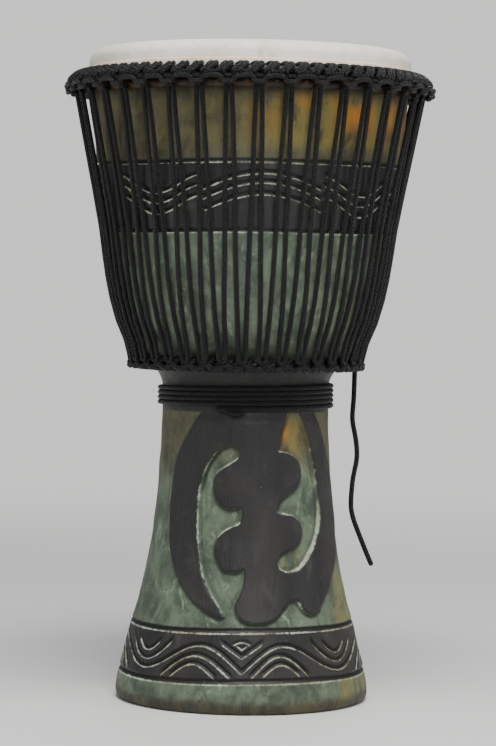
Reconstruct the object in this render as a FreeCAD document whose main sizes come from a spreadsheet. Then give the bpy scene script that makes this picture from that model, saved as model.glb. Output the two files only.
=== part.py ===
import FreeCAD, Part
import math
import os
import re
import Sketcher

# A rope-tuned goblet drum (djembe): a carved wooden shell, a goatskin head held by a flesh ring and a
# crown ring, and one long rope that laces the crown ring to the bottom ring. Millimetres and degrees,
# +Z up, origin at the centre of the foot, the carved emblem facing -Y.

Vector = FreeCAD.Vector

SIZES = {
    # shell, outside: radius and height of each corner of the turned profile
    "base_radius": 118.0,
    "toe_radius": 119.5,
    "toe_height": 8.0,
    "foot_radius": 105.0,
    "foot_height": 74.0,
    "neck_radius": 78.5,
    "neck_height": 298.0,
    "flare_radius": 84.0,
    "flare_height": 310.0,
    "hip_radius": 103.0,
    "hip_height": 330.0,
    "belly_radius": 125.5,
    "belly_height": 378.0,
    "rim_radius": 150.5,
    "rim_height": 597.3,
    # shell, inside
    "bore_radius": 104.0,
    "throat_radius": 55.0,
    "throat_height": 300.0,
    "cup_radius": 106.0,
    "cup_height": 378.0,
    "mouth_radius": 134.5,
    "mouth_height": 602.0,
    # curvature of the turned profile
    "stem_curve": 760.0,
    "flare_curve": 26.0,
    "hip_curve": 62.0,
    "bowl_curve": 1460.0,
    "bore_curve": 400.0,
    "cup_curve": 90.0,
    "edge_curve": 11.5,
    "lip_curve": 6.0,
    # carving
    "groove_depth": 2.2,
    "groove_width": 4.0,
    "foot_groove_low": 31.0,
    "foot_groove_high": 76.0,
    "band_groove_low": 440.5,
    "band_groove_high": 503.0,
    "relief_height": 3.2,
    # goatskin
    "skin_gap": 0.1,
    "skin_thickness": 1.1,
    "skin_hem_height": 580.0,
    "margin_thickness": 0.9,
    "tuck_inner": 151.9,
    "tuck_gap": 0.25,
    "tuck_top": 597.0,
    "collar_height": 591.7,
    # rings: centre-line radius and height, and the rod's own radius
    "flesh_radius": 156.4,
    "flesh_height": 570.0,
    "crown_radius": 162.0,
    "crown_height": 582.0,
    "bottom_radius": 103.0,
    "bottom_height": 318.0,
    "rod_radius": 3.0,
    "rod_gap": 0.1,
    # rope
    "rope_radius": 2.25,
    "loop_count": 38,
    "crown_turns": 4,
    "bottom_turns": 2,
    "garland_dip": 1.2,
    "first_top_loop": 2.8,
    "first_bottom_loop": 7.54,
    "top_half_gap": 2.5,
    "bottom_half_gap": 3.25,
    "lace_top_height": 565.0,
    "lace_bottom_height": 323.0,
    "wrap_radius": 80.8,
    "wrap_pitch": 4.7,
    "wrap_height": 21.0,
    "wrap_start_height": 276.5,
    "tail_radius": 2.5,
}

# The emblem on the foot: a lobed column between two sickle-shaped arms, in millimetres round the foot
# (to the right of its centre) and above the floor.
LEFT_ARM = [(-41, 273), (-70, 233), (-77.5, 185), (-74, 142), (-51, 105), (-18, 86),
            (-36, 120), (-43.8, 167), (-40.5, 212), (-23, 240), (-4, 243), (8, 273)]
COLUMN = [(-10, 273), (-5, 232), (-24, 220), (-28, 198), (-17, 186), (-1, 182), (-18, 166),
          (-27, 150), (-17, 129), (1, 131), (-7, 97), (13, 82), (40, 98), (31, 138),
          (50, 149), (57, 165), (45, 180), (31, 185), (52, 206), (52, 229), (32, 239), (40, 270)]
RIGHT_ARM = [(69, 272), (97, 230), (111, 180), (105, 130), (81, 98), (66, 89), (50, 103), (26, 95),
             (28, 133), (50, 128), (72, 152), (79, 180), (72, 222), (52, 272)]

# Centre line of a lacing rope from the crown to the bottom ring: height and radius.
LACE_LINE = [(570, 163.9), (521, 154.1), (480, 145.7), (440, 138.3), (398, 132.4), (378, 128.2),
             (357, 122.2), (337, 113.7), (323, 110.3)]

# Centre line of one turn of rope round the crown ring: radius and height, starting inside the ring and
# going over it, down the outside to the garland and back under it.
CROWN_TURN = [(156.65, 582), (158.2, 585.8), (162, 587.4), (166.6, 585.4), (170.2, 581.8),
              (172.6, 577.4), (173, 573), (170.4, 570.2), (166.8, 571.6), (163.6, 574.4),
              (160.4, 576.2), (157.8, 578.4)]

# The loose end of the rope hangs at the right of the drum, in the plane of its axis: x and height.
TAIL_LINE = [(103, 306), (102.5, 282), (101, 265), (105.5, 246), (107, 228), (102.5, 209),
             (101, 182), (110, 155), (123, 124)]

document = FreeCAD.newDocument("djembe")
sheet = document.addObject("Spreadsheet::Sheet", "Sizes")
for row, (alias, value) in enumerate(SIZES.items(), start=1):
    sheet.set("A%d" % row, alias)
    sheet.set("B%d" % row, str(value))
    sheet.setAlias("B%d" % row, alias)
document.recompute()


def size(expression):
    """Value of an expression over the sheet's aliases."""
    return float(sheet.evalExpression(expression))


def cell(expression):
    """The same expression as other objects write it."""
    return re.sub(r"[a-z]+(_[a-z]+)+", r"<<Sizes>>.\g<0>", expression)


def arc_between(start, end, radius):
    """Arc from start to end; a positive radius bulges to the right of the way from start to end."""
    chord = end - start
    half = chord.Length / 2
    side = Vector(chord.y, -chord.x, 0).normalize()
    offset = math.sqrt(radius ** 2 - half ** 2)
    centre = start + chord * 0.5 - side * math.copysign(offset, radius)
    first, last = (start, end) if radius > 0 else (end, start)
    angles = [math.atan2(point.y - centre.y, point.x - centre.x) for point in (first, last)]
    circle = Part.Circle(centre, Vector(0, 0, 1), abs(radius))
    return Part.ArcOfCircle(circle, angles[0], angles[1])


def bind(sketch, expression, *constraint):
    """Add one dimension to a sketch and tie it to the sheet."""
    index = sketch.addConstraint(Sketcher.Constraint(*constraint, size(expression)))
    sketch.setExpression("Constraints[%d]" % index, cell(expression))


def draw_profile(sketch, corners):
    """Draw a closed outline. A corner is (x, z, curve): curve is None for a straight side to the next
    corner, or the side's radius with a sign."""
    points = [Vector(size(x), size(z), 0) for x, z, curve in corners]
    ends = []
    for index, (x, z, curve) in enumerate(corners):
        start = points[index]
        end = points[(index + 1) % len(points)]
        if curve is None:
            edge = sketch.addGeometry(Part.LineSegment(start, end))
            ends.append((edge, 1, 2))
        else:
            edge = sketch.addGeometry(arc_between(start, end, size(curve)))
            ends.append((edge, 1, 2) if size(curve) > 0 else (edge, 2, 1))
    for index, (x, z, curve) in enumerate(corners):
        edge, first, last = ends[index]
        following = ends[(index + 1) % len(ends)]
        sketch.addConstraint(Sketcher.Constraint("Coincident", edge, last, following[0], following[1]))
        if x == "0":
            sketch.addConstraint(Sketcher.Constraint("PointOnObject", edge, first, -2))
        else:
            bind(sketch, x, "DistanceX", -1, 1, edge, first)
        if z == "0":
            sketch.addConstraint(Sketcher.Constraint("PointOnObject", edge, first, -1))
        else:
            bind(sketch, z, "DistanceY", -1, 1, edge, first)
        if curve is not None:
            index = sketch.addConstraint(Sketcher.Constraint("Radius", edge, abs(size(curve))))
            sketch.setExpression("Constraints[%d]" % index, cell(curve.lstrip("-")))


def upright_sketch(body, name):
    """Sketch on the body's XZ plane: x is the radius and y is the height."""
    sketch = body.newObject("Sketcher::SketchObject", name)
    plane = [item for item in body.Origin.OriginFeatures if item.Role == "XZ_Plane"][0]
    sketch.AttachmentSupport = [(plane, "")]
    sketch.MapMode = "FlatFace"
    document.recompute()
    return sketch


def turned_body(name, corners):
    """Body made by turning a closed profile round the drum's axis."""
    body = document.addObject("PartDesign::Body", name)
    sketch = upright_sketch(body, name + "_profile")
    draw_profile(sketch, corners)
    turning = body.newObject("PartDesign::Revolution", name + "_turning")
    turning.Profile = sketch
    turning.ReferenceAxis = (sketch, ["V_Axis"])
    turning.Angle = 360
    document.recompute()
    return body


def make_ring(name, radius, height):
    """Welded steel hoop."""
    ring = document.addObject("Part::Torus", name)
    ring.setExpression("Radius1", cell(radius))
    ring.setExpression("Radius2", cell("rod_radius"))
    ring.setExpression("Placement.Base.z", cell(height))
    return ring


def make_turned_shell():
    """Wooden goblet, open at both ends, with four plain grooves round it."""
    outline = [
        ("base_radius", "0", None),
        ("toe_radius", "toe_height", None),
        ("foot_radius", "foot_height", "-stem_curve"),
        ("neck_radius", "neck_height", "-flare_curve"),
        ("flare_radius", "flare_height", None),
        ("hip_radius", "hip_height", "hip_curve"),
        ("belly_radius", "belly_height", "bowl_curve"),
        ("rim_radius", "rim_height", "edge_curve"),
        ("rim_radius - edge_curve", "rim_height + edge_curve", "lip_curve"),
        ("mouth_radius", "mouth_height", None),
        ("cup_radius", "cup_height", "-cup_curve"),
        ("throat_radius", "throat_height", "bore_curve"),
        ("bore_radius", "0", None),
    ]
    body = turned_body("turned_shell", outline)
    cutter = upright_sketch(body, "groove_profile")
    grooves = [
        ("foot_groove_low", "toe_radius - 5"),
        ("foot_groove_high", "foot_radius - 0.6"),
        ("band_groove_low", "belly_radius + 10.4"),
        ("band_groove_high", "belly_radius + 18.6"),
    ]
    for height, wall in grooves:
        draw_profile(cutter, [
            (wall + " - groove_depth", height, None),
            (wall + " + 2", height + " - groove_width", None),
            (wall + " + 2", height + " + groove_width", None),
        ])
    cut = body.newObject("PartDesign::Groove", "groove_cut")
    cut.Profile = cutter
    cut.ReferenceAxis = (cutter, ["V_Axis"])
    cut.Angle = 360
    document.recompute()
    return body


def stem_radius(height):
    """Outer radius of the stem between the foot and the neck, on its long hollow curve."""
    low = Vector(size("foot_radius"), size("foot_height"), 0)
    high = Vector(size("neck_radius"), size("neck_height"), 0)
    arc = arc_between(low, high, -size("stem_curve"))
    lift = height - arc.Center.y
    return arc.Center.x - math.sqrt(size("stem_curve") ** 2 - lift ** 2)


def emblem_arm(outline, facing):
    """One arm of the emblem, standing proud of the stem: its outline is extruded out from the axis in
    the direction it faces (degrees round from the front)."""
    points = []
    for along, height in outline:
        turn = along / stem_radius(height) - math.radians(facing)
        points.append(Vector(stem_radius(height) * math.sin(turn), -1, height))
    curve = Part.BSplineCurve()
    curve.interpolate(Points=points, PeriodicFlag=True)
    face = Part.Face(Part.Wire(curve.toShape()))
    prism = face.extrude(Vector(0, -2 * size("toe_radius"), 0))
    prism.rotate(Vector(0, 0, 0), Vector(0, 0, 1), facing)
    return prism


def make_emblem():
    """Raised emblem: the skin of wood around the stem, kept only inside the three outlines."""
    heights = range(76, 275, 18)
    proud = size("relief_height")
    outside = [Vector(stem_radius(height) + proud, 0, height) for height in heights]
    inside = [Vector(stem_radius(height) - proud, 0, height) for height in reversed(heights)]
    curves = [Part.BSplineCurve(), Part.BSplineCurve()]
    curves[0].interpolate(outside)
    curves[1].interpolate(inside)
    edges = [curve.toShape() for curve in curves]
    edges.append(Part.makeLine(outside[-1], inside[0]))
    edges.append(Part.makeLine(inside[-1], outside[0]))
    section = Part.Face(Part.Wire(Part.__sortEdges__(edges)))
    sleeve = section.revolve(Vector(0, 0, 0), Vector(0, 0, 1), 360)
    arms = [emblem_arm(LEFT_ARM, -28), emblem_arm(COLUMN, 10), emblem_arm(RIGHT_ARM, 48)]
    pieces = [sleeve.common(arm) for arm in arms]
    emblem = document.addObject("Part::Feature", "emblem")
    emblem.Shape = pieces[0].multiFuse(pieces[1:]).removeSplitter()
    return emblem


def make_shell():
    """The goblet with its emblem, one piece of wood."""
    shell = document.addObject("Part::MultiFuse", "shell")
    shell.Shapes = [make_turned_shell(), make_emblem()]
    shell.Refine = True
    return shell


def make_drumhead():
    """Goatskin stretched over the bearing edge, down to where it runs inside the crown."""
    flat = "rim_radius - edge_curve"
    under = "rim_height + edge_curve + skin_gap"
    return turned_body("drumhead", [
        ("0", under, None),
        (flat, under, "-(edge_curve + skin_gap)"),
        ("rim_radius + skin_gap", "rim_height", None),
        ("rim_radius + skin_gap", "skin_hem_height", None),
        ("rim_radius + skin_gap + skin_thickness", "skin_hem_height", None),
        ("rim_radius + skin_gap + skin_thickness", "rim_height",
         "edge_curve + skin_gap + skin_thickness"),
        (flat, under + " + skin_thickness", None),
        ("0", under + " + skin_thickness", None),
    ])


def make_skin_tuck():
    """Margin of the skin: it comes down inside, goes round the flesh ring and back up, and is trimmed."""
    roll = "(flesh_radius - tuck_inner)"
    hole = "(rod_radius + rod_gap)"
    layer = "tuck_inner + skin_thickness"
    flap = layer + " + tuck_gap"
    outer = flap + " + margin_thickness"
    rise = "sqrt(%s ^ 2 - (flesh_radius - (%s)) ^ 2)" % (roll, outer)

    def on_hole(turn):
        across = "flesh_radius + %s * cos(%d deg)" % (hole, turn)
        return across, "flesh_height + %s * sin(%d deg)" % (hole, turn)

    return turned_body("skin_tuck", [
        ("tuck_inner", "flesh_height", None),
        ("tuck_inner", "tuck_top", None),
        (layer, "tuck_top", None),
        (*on_hole(150), hole),
        (*on_hole(270), hole),
        (*on_hole(30), hole),
        (*on_hole(140), None),
        (flap, "collar_height", None),
        (outer, "collar_height", None),
        (outer, "flesh_height + " + rise, "-" + roll),
        ("flesh_radius + " + roll, "flesh_height", "-" + roll),
        ("flesh_radius", "flesh_height - " + roll, "-" + roll),
    ])


def rope_section(point, along, reference, radius):
    """Round section of a rope across its own direction."""
    circle = Part.makeCircle(radius)
    turn = FreeCAD.Rotation(reference, Vector(0, 0, 0), along, "ZXY")
    circle.Placement = FreeCAD.Placement(point, turn)
    return circle


def on_ring(radius, angle, height):
    """Point at a radius and a height, at an angle in degrees round from the front to the right."""
    turn = math.radians(angle)
    return Vector(radius * math.sin(turn), -radius * math.cos(turn), height)


def rope_skin(path, steps, reference, radius="rope_radius"):
    """Skin of a rope and its first and last round sections. path gives (radius, angle, height) for a
    share of the rope from 0 to 1; reference gives a direction that the rope never points along."""
    sections = []
    for step in range(steps + 1):
        here = on_ring(*path(step / steps))
        along = on_ring(*path((step + 0.05) / steps)) - on_ring(*path((step - 0.05) / steps))
        sections.append(rope_section(here, along, reference(path(step / steps)[1]), size(radius)))
    faces = [Part.makeRuledSurface(one, following) for one, following in zip(sections, sections[1:])]
    return Part.makeCompound(faces), sections[0], sections[-1]


def closed_solid(name, faces):
    """Document object whose shape is the solid inside a closed set of faces."""
    skin = Part.makeCompound(faces)
    skin.sewShape(0.001)
    solid = document.addObject("Part::Feature", name)
    solid.Shape = Part.makeSolid(skin.Shells[0])
    return solid


def endless_rope(name, path, steps, reference):
    """Closed rope that repeats the same run once per loop round the drum."""
    count = int(size("loop_count"))
    run = rope_skin(path, steps, reference)[0]
    faces = []
    for index in range(count):
        copy = run.copy()
        copy.rotate(Vector(0, 0, 0), Vector(0, 0, 1), index * 360 / count)
        faces += copy.Faces
    return closed_solid(name, faces)


def loose_rope(name, path, steps, reference, radius="rope_radius"):
    """Rope with two cut ends."""
    skin, first, last = rope_skin(path, steps, reference, radius)
    return closed_solid(name, skin.Faces + [Part.Face(Part.Wire(end)) for end in (first, last)])


def outward(angle):
    """Direction away from the axis at an angle round the drum."""
    return on_ring(1, angle, 0)


def around(angle):
    """Direction round the drum at an angle."""
    return on_ring(1, angle + 90, 0)


def between(table, height):
    """Radius at a height on a centre line given as (height, radius) from the top down."""
    for (upper, upper_radius), (lower, lower_radius) in zip(table, table[1:]):
        if height >= lower:
            break
    share = (height - lower) / (upper - lower)
    return lower_radius + share * (upper_radius - lower_radius)


def lace_path(share):
    """One zigzag of the lacing: from the top of a crown loop down to the bottom ring and up again."""
    top_gap, bottom_gap = size("top_half_gap"), size("bottom_half_gap")
    top, bottom = size("lace_top_height"), size("lace_bottom_height")
    pitch = 360 / size("loop_count")
    start = size("first_top_loop")
    middle = size("first_bottom_loop")
    top_half = math.degrees(top_gap / between(LACE_LINE, top))
    bottom_half = math.degrees(bottom_gap / between(LACE_LINE, bottom))
    laps = math.floor(share)
    share -= laps
    mirrored = share > 0.5
    way = 2 * (1 - share if mirrored else share)
    bend = 0.3
    if way < bend:
        turn = way / bend * math.pi / 2
        angle = start + top_half * math.sin(turn)
        height = top + top_gap * math.cos(turn)
    elif way > 1 - bend:
        turn = (1 - way) / bend * math.pi / 2
        angle = middle - bottom_half * math.sin(turn)
        height = bottom - bottom_gap * math.cos(turn)
    else:
        along = (way - bend) / (1 - 2 * bend)
        angle = start + top_half + along * (middle - bottom_half - start - top_half)
        height = top + along * (bottom - top)
    if mirrored:
        angle = 2 * middle - angle
    return between(LACE_LINE, height), angle + laps * pitch, height


def wound_path(turn_points, turns, dip, first):
    """Path of rope wound round a ring: the same turn repeated as the rope moves on round the drum."""
    curve = Part.BSplineCurve()
    curve.interpolate(Points=[Vector(x, z, 0) for x, z in turn_points], PeriodicFlag=True)
    pitch = 360 / size("loop_count")
    low = min(z for x, z in turn_points)
    high = max(z for x, z in turn_points)

    def path(share):
        span = curve.LastParameter - curve.FirstParameter
        place = curve.value(curve.FirstParameter + (share * turns % 1) * span)
        angle = first + share * pitch
        weight = ((high - place.y) / (high - low)) ** 3
        return place.x, angle, place.y - dip * weight * math.cos(math.radians(360 * share))
    return path


def ring_turn(radius, height, offset, points):
    """Round turn of rope about a ring's rod."""
    steps = [2 * math.pi * index / points for index in range(points)]
    return [(radius - offset * math.cos(step), height + offset * math.sin(step)) for step in steps]


def make_rope_work():
    """Hitches on the two outer rings and the lacing between them."""
    crown_turns = int(size("crown_turns"))
    crown = wound_path(CROWN_TURN, crown_turns, size("garland_dip"), size("first_top_loop"))
    turn = ring_turn(size("bottom_radius"), size("bottom_height"),
                     size("rod_radius + rope_radius + rod_gap"), 8)
    bottom_turns = int(size("bottom_turns"))
    bottom = wound_path(turn, bottom_turns, 0, size("first_bottom_loop"))
    return [
        endless_rope("crown_hitches", crown, 12 * crown_turns, around),
        endless_rope("bottom_hitches", bottom, 12 * bottom_turns, around),
        endless_rope("lacing_rope", lace_path, 20, outward),
    ]


def make_neck_wrap():
    """Spare rope wound round the neck."""
    turns = size("wrap_height / wrap_pitch")

    def path(share):
        height = size("wrap_start_height") + share * size("wrap_height")
        return size("wrap_radius"), share * turns * 360, height

    return loose_rope("neck_wrap", path, math.ceil(12 * turns), outward)


def make_rope_tail():
    """Loose end of the rope, hanging from the bottom ring."""
    curve = Part.BSplineCurve()
    curve.interpolate([Vector(x, z, 0) for x, z in TAIL_LINE])

    def path(share):
        place = curve.value(curve.FirstParameter + share * (curve.LastParameter - curve.FirstParameter))
        return place.x, 90, place.y

    return loose_rope("rope_tail", path, 24, around, "tail_radius")


pieces = [
    make_shell(),
    make_drumhead(),
    make_skin_tuck(),
    make_ring("flesh_ring", "flesh_radius", "flesh_height"),
    make_ring("crown_ring", "crown_radius", "crown_height"),
    make_ring("bottom_ring", "bottom_radius", "bottom_height"),
    make_neck_wrap(),
    make_rope_tail(),
] + make_rope_work()

document.recompute()
for item in document.Objects:
    if "Invalid" in item.State or "Error" in item.State:
        raise RuntimeError("%s did not build: %s" % (item.Name, item.State))
for piece in pieces:
    if piece.Shape.isNull() or not piece.Shape.isValid() or not piece.Shape.Solids:
        raise RuntimeError("%s has no valid solid" % piece.Label)

os.makedirs("parts", exist_ok=True)
for piece in pieces:
    piece.Shape.exportStep("parts/%s.step" % piece.Label)
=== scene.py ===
import math

import bmesh
import bpy
import numpy as np
from mathutils import Matrix, Vector


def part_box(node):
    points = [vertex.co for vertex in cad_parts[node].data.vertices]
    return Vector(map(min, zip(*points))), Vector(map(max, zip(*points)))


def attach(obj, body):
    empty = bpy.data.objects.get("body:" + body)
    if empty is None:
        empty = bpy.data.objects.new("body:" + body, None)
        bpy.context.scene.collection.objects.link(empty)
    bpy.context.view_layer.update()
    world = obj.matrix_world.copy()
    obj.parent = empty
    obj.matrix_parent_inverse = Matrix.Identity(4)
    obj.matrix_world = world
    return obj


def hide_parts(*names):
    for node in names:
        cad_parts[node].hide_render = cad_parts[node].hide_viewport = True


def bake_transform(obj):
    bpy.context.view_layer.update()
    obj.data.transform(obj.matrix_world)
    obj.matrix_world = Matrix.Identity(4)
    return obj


# A rope-tuned goblet drum. Lengths below are millimetres in the frame's own axes: +Z up, the carved
# emblem towards -Y. Angles run round from the front to the right; "along" is an angle times a radius.

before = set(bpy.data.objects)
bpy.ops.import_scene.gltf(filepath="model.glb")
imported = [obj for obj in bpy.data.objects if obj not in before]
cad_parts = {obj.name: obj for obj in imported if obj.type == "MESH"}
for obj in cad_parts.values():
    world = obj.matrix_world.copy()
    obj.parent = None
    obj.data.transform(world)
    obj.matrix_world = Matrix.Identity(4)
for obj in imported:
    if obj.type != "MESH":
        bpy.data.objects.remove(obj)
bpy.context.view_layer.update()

MM = 0.001
PLAYING_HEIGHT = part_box("drumhead")[1].z / MM
SKIN_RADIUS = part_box("drumhead")[1].x / MM
CROWN_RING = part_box("crown_ring")
BOTTOM_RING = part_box("bottom_ring")
FLESH_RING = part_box("flesh_ring")
ROPE_RADIUS = 2.25
LOOPS = 38
PITCH = 360 / LOOPS
FIRST_TOP = 2.8
FIRST_BOTTOM = 7.54
TOP_HALF_GAP = 2.5
BOTTOM_HALF_GAP = 3.25

# Outer radius of the shell at a height.
PROFILE = [(0, 116.5), (3, 118.4), (8, 119.6), (17, 118.4), (31, 115.5), (74, 104.9), (92, 99.2),
           (118, 93.1), (158, 86.2), (197, 82.2), (237, 79.8), (270, 78.7), (298, 78.5), (304, 80.4),
           (310, 84), (321, 94), (330, 103), (337, 109.3), (347, 115.2), (357, 119.4), (378, 125.5),
           (398, 129.5), (419, 132.8), (440, 135.7), (470, 139.8), (500, 143.3), (560, 148.3),
           (597.3, 150.4)]
# Inner radius at a height, from the mouth down to the foot.
BORE = [(602, 134.6), (560, 132), (500, 127), (440, 119), (378, 106), (340, 84), (318, 64),
        (300, 55.5), (270, 56), (200, 66), (120, 83), (50, 97), (3, 103.5)]
# Centre line of the lacing: height and radius.
LACE_LINE = [(571, 163.9), (567, 163.1), (521, 154.1), (480, 145.9), (440, 138.3), (419, 135.5),
             (398, 132.4), (378, 128.2), (357, 122.3), (337, 113.9), (323, 110.4), (318, 109.6)]

# The emblem's outline on the foot: along and height.
EMBLEM = [(-33, 292), (-41, 274), (-57, 252), (-69, 233), (-74, 213), (-77.3, 193), (-77.6, 177),
          (-76.8, 157), (-74, 142), (-69, 130), (-61, 117), (-51, 105), (-40, 96), (-28, 89), (-16, 86),
          (-22, 97), (-30, 108), (-36, 120), (-40, 133), (-42.6, 150), (-43.8, 167), (-44.2, 183),
          (-43.3, 200), (-40, 212), (-35.5, 223), (-29.5, 233), (-23, 240), (-15, 244), (-8, 243),
          (-4.5, 238), (-5.3, 232), (-12, 227), (-22, 221), (-27, 215), (-29, 207), (-28, 198), (-23, 190),
          (-17, 185.5), (-10, 185), (-3, 187), (-1, 182), (-2, 177), (-3, 172), (-10, 169), (-18, 165),
          (-24, 158), (-27, 150), (-26, 142), (-22, 133), (-17, 129), (-10, 128), (-3, 129),
          (1.3, 131), (1.3, 122), (0, 113), (-3, 107), (-7, 100), (-7, 93), (-3, 87), (3, 83), (13, 82),
          (23, 83), (32, 87.5), (37.5, 94), (40, 98), (45, 102), (51, 102.5), (54, 100), (58, 94),
          (65, 89), (72, 88), (78, 92), (81, 97.5), (88, 105), (97, 117), (105, 130), (110, 144),
          (112, 165), (110, 190), (104, 212), (97, 230), (90, 243), (82, 258), (72, 276), (64, 292),
          (44, 292), (52.5, 274), (58, 263), (63, 252), (67.5, 237), (72, 222), (75, 208), (77, 197),
          (80, 180), (77, 163), (72, 152), (65, 142), (58, 133), (50, 128), (40, 127.5), (33, 131),
          (31, 138), (34, 144), (40, 147.5), (50, 150), (56, 157), (57, 165), (54, 173), (47, 179),
          (37, 180.5), (29, 182), (31, 187), (33, 193), (40, 198), (48, 202.5), (54, 210), (55, 220),
          (52, 229), (45, 235), (37, 237.5), (30, 238), (32, 242), (33, 252), (36.5, 262), (41, 274),
          (45, 292)]

FOOT_BAND = (31.0, 76.0)
BOWL_BAND = (440.5, 503.0)
FOOT_BAND_RADIUS = 109.0
DARK_NECK = (273.0, 317.0)

ROD_RADIUS = 3.0
BRAID_LENGTH = 6.8
PROFILE_BLUR = 2.5
# Signed distances far from the emblem and from black paint.
FAR_OUTSIDE = -30.0
OUTSIDE_BLACK = -20.0

# Camera: metres, degrees, lens in millimetres, shift as a share of the picture.
CAMERA_PLACE = (0, -2.510, 0.389)
CAMERA_PITCH_DOWN = 1.86
CAMERA_ROLL = 0.86
CAMERA_LENS = 127.9
CAMERA_SHIFT = 0.002815


# ---- small tools

def smoothstep(low, high, value):
    share = np.clip((value - low) / (high - low), 0, 1)
    return share * share * (3 - 2 * share)


def table(pairs, heights):
    """Value at each height from (height, value) pairs in either order."""
    ordered = sorted(pairs)
    return np.interp(heights, [pair[0] for pair in ordered], [pair[1] for pair in ordered])


def smooth_table(pairs, heights, blur):
    """The same with its corners rounded over a few millimetres."""
    offsets = np.linspace(-2, 2, 17)
    weights = np.exp(-offsets ** 2)
    total = sum(weight * table(pairs, heights + blur * offset) for offset, weight in zip(offsets, weights))
    return total / weights.sum()


def cylinder_points(radius, angle, height):
    """Points in millimetres from radius, angle in degrees from the front to the right, and height."""
    turn = np.radians(angle)
    return np.stack([radius * np.sin(turn), -radius * np.cos(turn), height + 0 * turn], axis=-1)


def along_of(angle, radius):
    """Distance round the drum from its front, in millimetres."""
    return np.radians(angle) * radius


def value_noise(across, up, seed, wrap):
    """Smooth noise from 0 to 1 over a grid of cells; it repeats every wrap cells across."""
    random = np.random.default_rng(seed)
    lattice = random.random((wrap, 512))
    column = np.floor(across).astype(int)
    row = np.floor(up).astype(int)
    share_x = smoothstep(0, 1, across - column)
    share_y = smoothstep(0, 1, up - row)

    def corner(dx, dy):
        return lattice[(column + dx) % wrap, (row + dy) % 512]

    low = corner(0, 0) * (1 - share_x) + corner(1, 0) * share_x
    high = corner(0, 1) * (1 - share_x) + corner(1, 1) * share_x
    return low * (1 - share_y) + high * share_y


def add_object(name, data):
    thing = bpy.data.objects.new(name, data)
    bpy.context.scene.collection.objects.link(thing)
    return thing


def build_mesh(name, points, faces, material, floats=None, uv=None):
    """Object from points in millimetres and quads, with named numbers on its points."""
    mesh = bpy.data.meshes.new(name)
    points = np.asarray(points, float).reshape(-1, 3)
    faces = np.asarray(faces, np.int32)
    mesh.vertices.add(len(points))
    mesh.vertices.foreach_set("co", (points * MM).ravel())
    mesh.loops.add(faces.size)
    mesh.loops.foreach_set("vertex_index", faces.ravel())
    mesh.polygons.add(len(faces))
    mesh.polygons.foreach_set("loop_start", np.arange(0, faces.size, 4, dtype=np.int32))
    mesh.polygons.foreach_set("use_smooth", np.ones(len(faces), bool))
    mesh.update(calc_edges=True)
    for key, values in (floats or {}).items():
        attribute = mesh.attributes.new(key, "FLOAT", "POINT")
        attribute.data.foreach_set("value", np.asarray(values, np.float32).ravel())
    if uv is not None:
        layer = mesh.uv_layers.new(name="UVMap")
        layer.data.foreach_set("uv", np.asarray(uv, np.float32)[faces.ravel()].ravel())
    mesh.materials.append(material)
    return add_object(name, mesh)


def stand_for(piece, slot, body, *nodes):
    """Let a piece ride on a body in place of CAD nodes."""
    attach(piece, body)
    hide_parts(*nodes)


def grid_faces(rows, columns, closed_rows):
    """Quads of a grid that closes round its columns and, if asked, round its rows."""
    row = np.arange(rows if closed_rows else rows - 1)[:, None]
    column = np.arange(columns)[None, :]
    next_row = (row + 1) % rows
    next_column = (column + 1) % columns
    corners = [row * columns + column, row * columns + next_column,
               next_row * columns + next_column, next_row * columns + column]
    return np.stack([corner + 0 * (row + column) for corner in corners], axis=-1).reshape(-1, 4)


# ---- materials

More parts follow.
